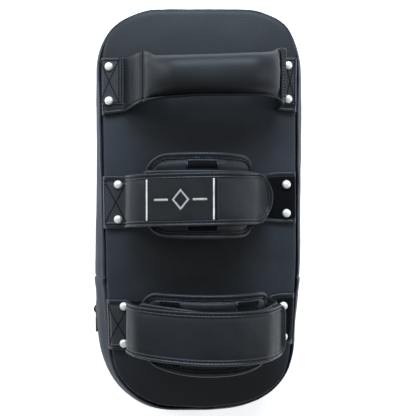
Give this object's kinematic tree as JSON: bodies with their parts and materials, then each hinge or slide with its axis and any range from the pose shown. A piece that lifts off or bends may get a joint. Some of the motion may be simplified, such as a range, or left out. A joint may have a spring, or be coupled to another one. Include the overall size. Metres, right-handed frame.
{
  "type": "thai pad",
  "caption": "Thick black leather kick and strike pad with a padded hand grip, opening forearm straps over curved cushions, nickel rivets and a zip round its elbow end.",
  "frame": {"origin": "centre of the striking face, which rests on the ground", "axes": "+Y along the pad towards the hand end, +Z from the striking face to the straps, +X to the straps' fastening side"},
  "size_m": [0.2078, 0.3972, 0.1627],
  "materials": {
    "panel_leather": "matte, fine grain",
    "gusset_leather": "matte, fine grain",
    "strap_leather": "satin, fine grain",
    "cushion_leather": "satin, fine grain",
    "counter_strap": "matte webbing",
    "hook_and_loop": "matte pile",
    "zip_tape": "matte",
    "label": "smooth, flat",
    "core_foam": "matte foam",
    "stiffener": "matte",
    "zip_metal": "black, satin",
    "rivet_nickel": "polished nickel"
  },
  "bodies": {
    "pad": {"front_cover": "panel_leather", "back_cover": "panel_leather", "gusset_hand_end": "gusset_leather", "gusset_elbow_end": "gusset_leather", "core_strike_foam": "core_foam", "core_middle_foam": "core_foam", "core_back_foam": "core_foam", "handle_stiffener": "stiffener", "mid_stiffener": "stiffener", "low_stiffener": "stiffener", "zip_tape_front": "zip_tape", "zip_tape_back": "zip_tape", "zip_coil": "zip_tape", "handle_base_left": "strap_leather", "handle_patch_left": "strap_leather", "handle_base_right": "strap_leather", "handle_patch_right": "strap_leather", "mid_strap_base": "strap_leather", "low_strap_base": "strap_leather", "mid_counter_base": "counter_strap", "low_counter_base": "counter_strap", "mid_loop_patch": "hook_and_loop", "low_loop_patch": "hook_and_loop", "handle_rivet_left_1": "rivet_nickel", "handle_rivet_left_2": "rivet_nickel", "handle_rivet_right_1": "rivet_nickel", "handle_rivet_right_2": "rivet_nickel", "mid_rivet_left_1": "rivet_nickel", "mid_rivet_left_2": "rivet_nickel", "mid_rivet_right_1": "rivet_nickel", "mid_rivet_right_2": "rivet_nickel", "low_rivet_left_1": "rivet_nickel", "low_rivet_left_2": "rivet_nickel", "low_rivet_right_1": "rivet_nickel", "low_rivet_right_2": "rivet_nickel"},
    "handle": {"handle_strip": "strap_leather", "handle_foam": "core_foam", "handle_sleeve": "strap_leather"},
    "mid_strap": {"mid_strap": "strap_leather", "mid_hook_patch": "hook_and_loop", "mid_label": "label"},
    "low_strap": {"low_strap": "strap_leather", "low_hook_patch": "hook_and_loop"},
    "mid_counter": {"mid_counter_strap": "counter_strap", "mid_cushion_cover": "cushion_leather", "mid_cushion_foam": "core_foam", "mid_cushion_lining": "cushion_leather", "mid_cushion_binding": "cushion_leather", "mid_cushion_patch_1": "hook_and_loop"},
    "low_counter": {"low_counter_strap": "counter_strap", "low_cushion_cover": "cushion_leather", "low_cushion_foam": "core_foam", "low_cushion_lining": "cushion_leather", "low_cushion_binding": "cushion_leather", "low_cushion_patch_1": "hook_and_loop", "low_cushion_patch_2": "hook_and_loop"},
    "zip_slider": {"zip_slider": "zip_metal"},
    "zip_pull": {"zip_pull": "zip_metal"}
  },
  "joints": [
    {"name": "handle_lean", "type": "hinge", "parent": "pad", "child": "handle", "pos_m": [0, 0.116, 0.097], "axis": [1, 0, 0], "range_deg": [-12, 12], "stiffness_Nm_per_rad": 0.3},
    {"name": "mid_strap_open", "type": "hinge", "parent": "pad", "child": "mid_strap", "pos_m": [-0.0664, 0.0059, 0.1234], "axis": [0, -1, 0], "range_deg": [0, 150]},
    {"name": "mid_counter_lift", "type": "hinge", "parent": "pad", "child": "mid_counter", "pos_m": [0.0559, 0.0095, 0.1094], "axis": [0, 1, 0], "range_deg": [0, 37.5]},
    {"name": "low_strap_open", "type": "hinge", "parent": "pad", "child": "low_strap", "pos_m": [-0.0653, -0.1083, 0.1254], "axis": [0, -1, 0], "range_deg": [0, 150]},
    {"name": "low_counter_lift", "type": "hinge", "parent": "pad", "child": "low_counter", "pos_m": [0.0731, -0.1043, 0.1131], "axis": [0, 1, 0], "range_deg": [0, 37.5]},
    {"name": "zip_slide", "type": "slide", "parent": "pad", "child": "zip_slider", "axis": [0.0212, -0.9998, 0], "range_m": [0, 0.026]},
    {"name": "zip_pull_swing", "type": "hinge", "parent": "zip_slider", "child": "zip_pull", "pos_m": [-0.10227, -0.09959, 0.046], "axis": [0, 0, -1], "range_deg": [0, 150]}
  ],
  "couplings": [
    {"joint": "mid_counter_lift", "follows": "mid_strap_open", "ratio": 0.25},
    {"joint": "low_counter_lift", "follows": "low_strap_open", "ratio": 0.25}
  ]
}
